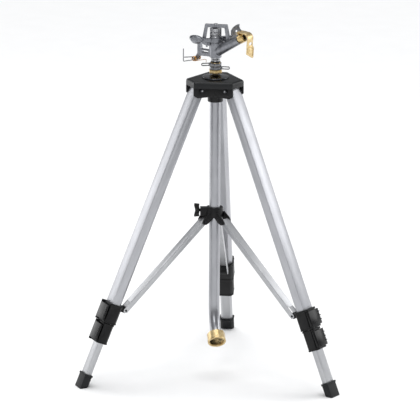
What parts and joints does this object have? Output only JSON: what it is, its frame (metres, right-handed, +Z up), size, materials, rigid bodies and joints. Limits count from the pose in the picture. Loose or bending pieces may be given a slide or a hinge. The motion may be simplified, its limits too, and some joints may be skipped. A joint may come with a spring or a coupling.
{
  "type": "impact sprinkler",
  "caption": "Brass-nozzled impact sprinkler head on a folding tripod with telescopic legs, a central water pipe and a swivel hose inlet.",
  "frame": {"origin": "on the floor, on the axis of the water pipe, half way between the three feet", "axes": "+Z up the water pipe; +X the way the nozzle points, over the front leg; +Y to the left of the nozzle"},
  "size_m": [0.3983, 0.4598, 0.6204],
  "materials": {
    "satin_aluminium": "satin",
    "tube_aluminium": "satin",
    "black_plastic": "satin",
    "dark_plastic": "matte",
    "gloss_plastic": "glossy",
    "foot_rubber": "matte",
    "seal_rubber": "matte",
    "cast_zinc": "cast",
    "yellow_brass": "satin",
    "spring_steel": "bright",
    "bolt_steel": "zinc plated"
  },
  "bodies": {
    "hub": {"hub_body": "black_plastic", "hub_cap": "black_plastic", "hub_disc": "gloss_plastic", "pivot_bolts": "bolt_steel", "water_pipe": "satin_aluminium", "hose_tail": "satin_aluminium", "riser_nipple": "yellow_brass", "thrust_washer": "seal_rubber"},
    "head": {"sprinkler_body": "cast_zinc", "nozzle": "yellow_brass", "nozzle_gasket": "seal_rubber", "fulcrum_pin": "bolt_steel", "deflector_pin": "bolt_steel", "trip_pin": "bolt_steel", "trip_spring": "yellow_brass", "bearing_sleeve": "yellow_brass", "bearing_spring": "spring_steel", "arm_spring": "spring_steel"},
    "arm": {"impact_arm": "cast_zinc"},
    "deflector": {"deflector": "yellow_brass"},
    "trip_lever": {"trip_lever": "spring_steel"},
    "lower_friction_collar": {"lower_friction_collar": "spring_steel"},
    "upper_friction_collar": {"upper_friction_collar": "spring_steel"},
    "swivel": {"swivel_nut": "yellow_brass", "inlet_washer": "seal_rubber", "inlet_screen": "spring_steel"},
    "spreader": {"spreader_collar": "black_plastic", "collar_pins": "bolt_steel"},
    "wing_knob": {"wing_knob": "black_plastic"},
    "front_leg": {"front_upper_tube": "satin_aluminium", "front_leg_knuckle": "dark_plastic", "front_upper_clamp": "black_plastic"},
    "front_middle": {"front_middle_tube": "tube_aluminium", "front_lower_clamp": "black_plastic"},
    "front_shin": {"front_lower_tube": "tube_aluminium", "front_foot": "foot_rubber"},
    "front_upper_lever": {"front_upper_lever": "black_plastic"},
    "front_lower_lever": {"front_lower_lever": "black_plastic"},
    "front_brace": {"front_brace": "tube_aluminium"},
    "left_leg": {"left_upper_tube": "satin_aluminium", "left_leg_knuckle": "dark_plastic", "left_upper_clamp": "black_plastic"},
    "left_middle": {"left_middle_tube": "tube_aluminium", "left_lower_clamp": "black_plastic"},
    "left_shin": {"left_lower_tube": "tube_aluminium", "left_foot": "foot_rubber"},
    "left_upper_lever": {"left_upper_lever": "black_plastic"},
    "left_lower_lever": {"left_lower_lever": "black_plastic"},
    "left_brace": {"left_brace": "tube_aluminium"},
    "right_leg": {"right_upper_tube": "satin_aluminium", "right_leg_knuckle": "dark_plastic", "right_upper_clamp": "black_plastic"},
    "right_middle": {"right_middle_tube": "tube_aluminium", "right_lower_clamp": "black_plastic"},
    "right_shin": {"right_lower_tube": "tube_aluminium", "right_foot": "foot_rubber"},
    "right_upper_lever": {"right_upper_lever": "black_plastic"},
    "right_lower_lever": {"right_lower_lever": "black_plastic"},
    "right_brace": {"right_brace": "tube_aluminium"}
  },
  "joints": [
    {"name": "front_leg_fold", "type": "hinge", "parent": "hub", "child": "front_leg", "pos_m": [0.0332, 0, 0.509], "axis": [0, 1, 0], "range_deg": [0, 19]},
    {"name": "front_upper_extension", "type": "slide", "parent": "front_leg", "child": "front_middle", "axis": [0.3919, 0, -0.92], "range_m": [0, 0.33]},
    {"name": "front_lower_extension", "type": "slide", "parent": "front_middle", "child": "front_shin", "axis": [0.3919, 0, -0.92], "range_m": [-0.05, 0.3]},
    {"name": "front_upper_lever_flip", "type": "hinge", "parent": "front_leg", "child": "front_upper_lever", "pos_m": [0.20324, -0.0125, 0.14883], "axis": [0.3919, 0, -0.92], "range_deg": [0, 150]},
    {"name": "front_lower_lever_flip", "type": "hinge", "parent": "front_middle", "child": "front_lower_lever", "pos_m": [0.21589, -0.011, 0.11454], "axis": [0.3919, 0, -0.92], "range_deg": [0, 150]},
    {"name": "front_brace_swing", "type": "hinge", "parent": "spreader", "child": "front_brace", "pos_m": [0.0215, 0, 0.273], "axis": [0, -1, 0], "range_deg": [-41.11, 0]},
    {"name": "left_leg_fold", "type": "hinge", "parent": "hub", "child": "left_leg", "pos_m": [-0.0166, 0.02875, 0.509], "axis": [-0.866, -0.5, 0], "range_deg": [0, 19]},
    {"name": "left_upper_extension", "type": "slide", "parent": "left_leg", "child": "left_middle", "axis": [-0.1959, 0.3394, -0.92], "range_m": [0, 0.33]},
    {"name": "left_lower_extension", "type": "slide", "parent": "left_middle", "child": "left_shin", "axis": [-0.1959, 0.3394, -0.92], "range_m": [-0.05, 0.3]},
    {"name": "left_upper_lever_flip", "type": "hinge", "parent": "left_leg", "child": "left_upper_lever", "pos_m": [-0.0908, 0.18226, 0.14883], "axis": [-0.1959, 0.3394, -0.92], "range_deg": [0, 150]},
    {"name": "left_lower_lever_flip", "type": "hinge", "parent": "left_middle", "child": "left_lower_lever", "pos_m": [-0.09842, 0.19246, 0.11454], "axis": [-0.1959, 0.3394, -0.92], "range_deg": [0, 150]},
    {"name": "left_brace_swing", "type": "hinge", "parent": "spreader", "child": "left_brace", "pos_m": [-0.01075, 0.01862, 0.273], "axis": [0.866, 0.5, 0], "range_deg": [-41.11, 0]},
    {"name": "right_leg_fold", "type": "hinge", "parent": "hub", "child": "right_leg", "pos_m": [-0.0166, -0.02875, 0.509], "axis": [0.866, -0.5, 0], "range_deg": [0, 19]},
    {"name": "right_upper_extension", "type": "slide", "parent": "right_leg", "child": "right_middle", "axis": [-0.1959, -0.3394, -0.92], "range_m": [0, 0.33]},
    {"name": "right_lower_extension", "type": "slide", "parent": "right_middle", "child": "right_shin", "axis": [-0.1959, -0.3394, -0.92], "range_m": [-0.05, 0.3]},
    {"name": "right_upper_lever_flip", "type": "hinge", "parent": "right_leg", "child": "right_upper_lever", "pos_m": [-0.11245, -0.16976, 0.14883], "axis": [-0.1959, -0.3394, -0.92], "range_deg": [0, 150]},
    {"name": "right_lower_lever_flip", "type": "hinge", "parent": "right_middle", "child": "right_lower_lever", "pos_m": [-0.11747, -0.18146, 0.11454], "axis": [-0.1959, -0.3394, -0.92], "range_deg": [0, 150]},
    {"name": "right_brace_swing", "type": "hinge", "parent": "spreader", "child": "right_brace", "pos_m": [-0.01075, -0.01862, 0.273], "axis": [-0.866, 0.5, 0], "range_deg": [-41.11, 0]},
    {"name": "spreader_slide", "type": "slide", "parent": "hub", "child": "spreader", "axis": [0, 0, 1], "range_m": [0, 0.03849]},
    {"name": "wing_knob_turn", "type": "hinge", "parent": "spreader", "child": "wing_knob", "pos_m": [-0.01626, -0.01164, 0.2897], "axis": [-0.8131, -0.5821, 0], "continuous": true},
    {"name": "swivel_turn", "type": "hinge", "parent": "hub", "child": "swivel", "pos_m": [0.01854, -0.0192, 0.06976], "axis": [0.5321, -0.551, -0.6428], "continuous": true},
    {"name": "head_spin", "type": "hinge", "parent": "hub", "child": "head", "pos_m": [0, 0, 0.56], "axis": [0, 0, 1], "continuous": true},
    {"name": "lower_collar_turn", "type": "hinge", "parent": "hub", "child": "lower_friction_collar", "pos_m": [0, 0, 0.5432], "axis": [0, 0, 1], "continuous": true},
    {"name": "upper_collar_turn", "type": "hinge", "parent": "hub", "child": "upper_friction_collar", "pos_m": [0, 0, 0.5492], "axis": [0, 0, 1], "continuous": true},
    {"name": "arm_swing", "type": "hinge", "parent": "head", "child": "arm", "pos_m": [0, 0, 0.592], "axis": [0, 0, 1], "range_deg": [0, 75], "stiffness_Nm_per_rad": 0.02, "springref_deg": -28.65},
    {"name": "deflector_swing", "type": "hinge", "parent": "head", "child": "deflector", "pos_m": [0.05005, 0, 0.61111], "axis": [0, -1, 0], "range_deg": [0, 100]},
    {"name": "trip_swing", "type": "hinge", "parent": "head", "child": "trip_lever", "pos_m": [-0.041, 0, 0.5545], "axis": [0, 1, 0], "range_deg": [-10, 12]}
  ],
  "couplings": [
    {"joint": "front_brace_swing", "follows": "front_leg_fold", "ratio": -2.1639},
    {"joint": "left_leg_fold", "follows": "front_leg_fold", "ratio": 1},
    {"joint": "left_brace_swing", "follows": "front_leg_fold", "ratio": -2.1639},
    {"joint": "right_leg_fold", "follows": "front_leg_fold", "ratio": 1},
    {"joint": "right_brace_swing", "follows": "front_leg_fold", "ratio": -2.1639},
    {"joint": "spreader_slide", "follows": "front_leg_fold", "m_per_rad": 0.11608}
  ]
}
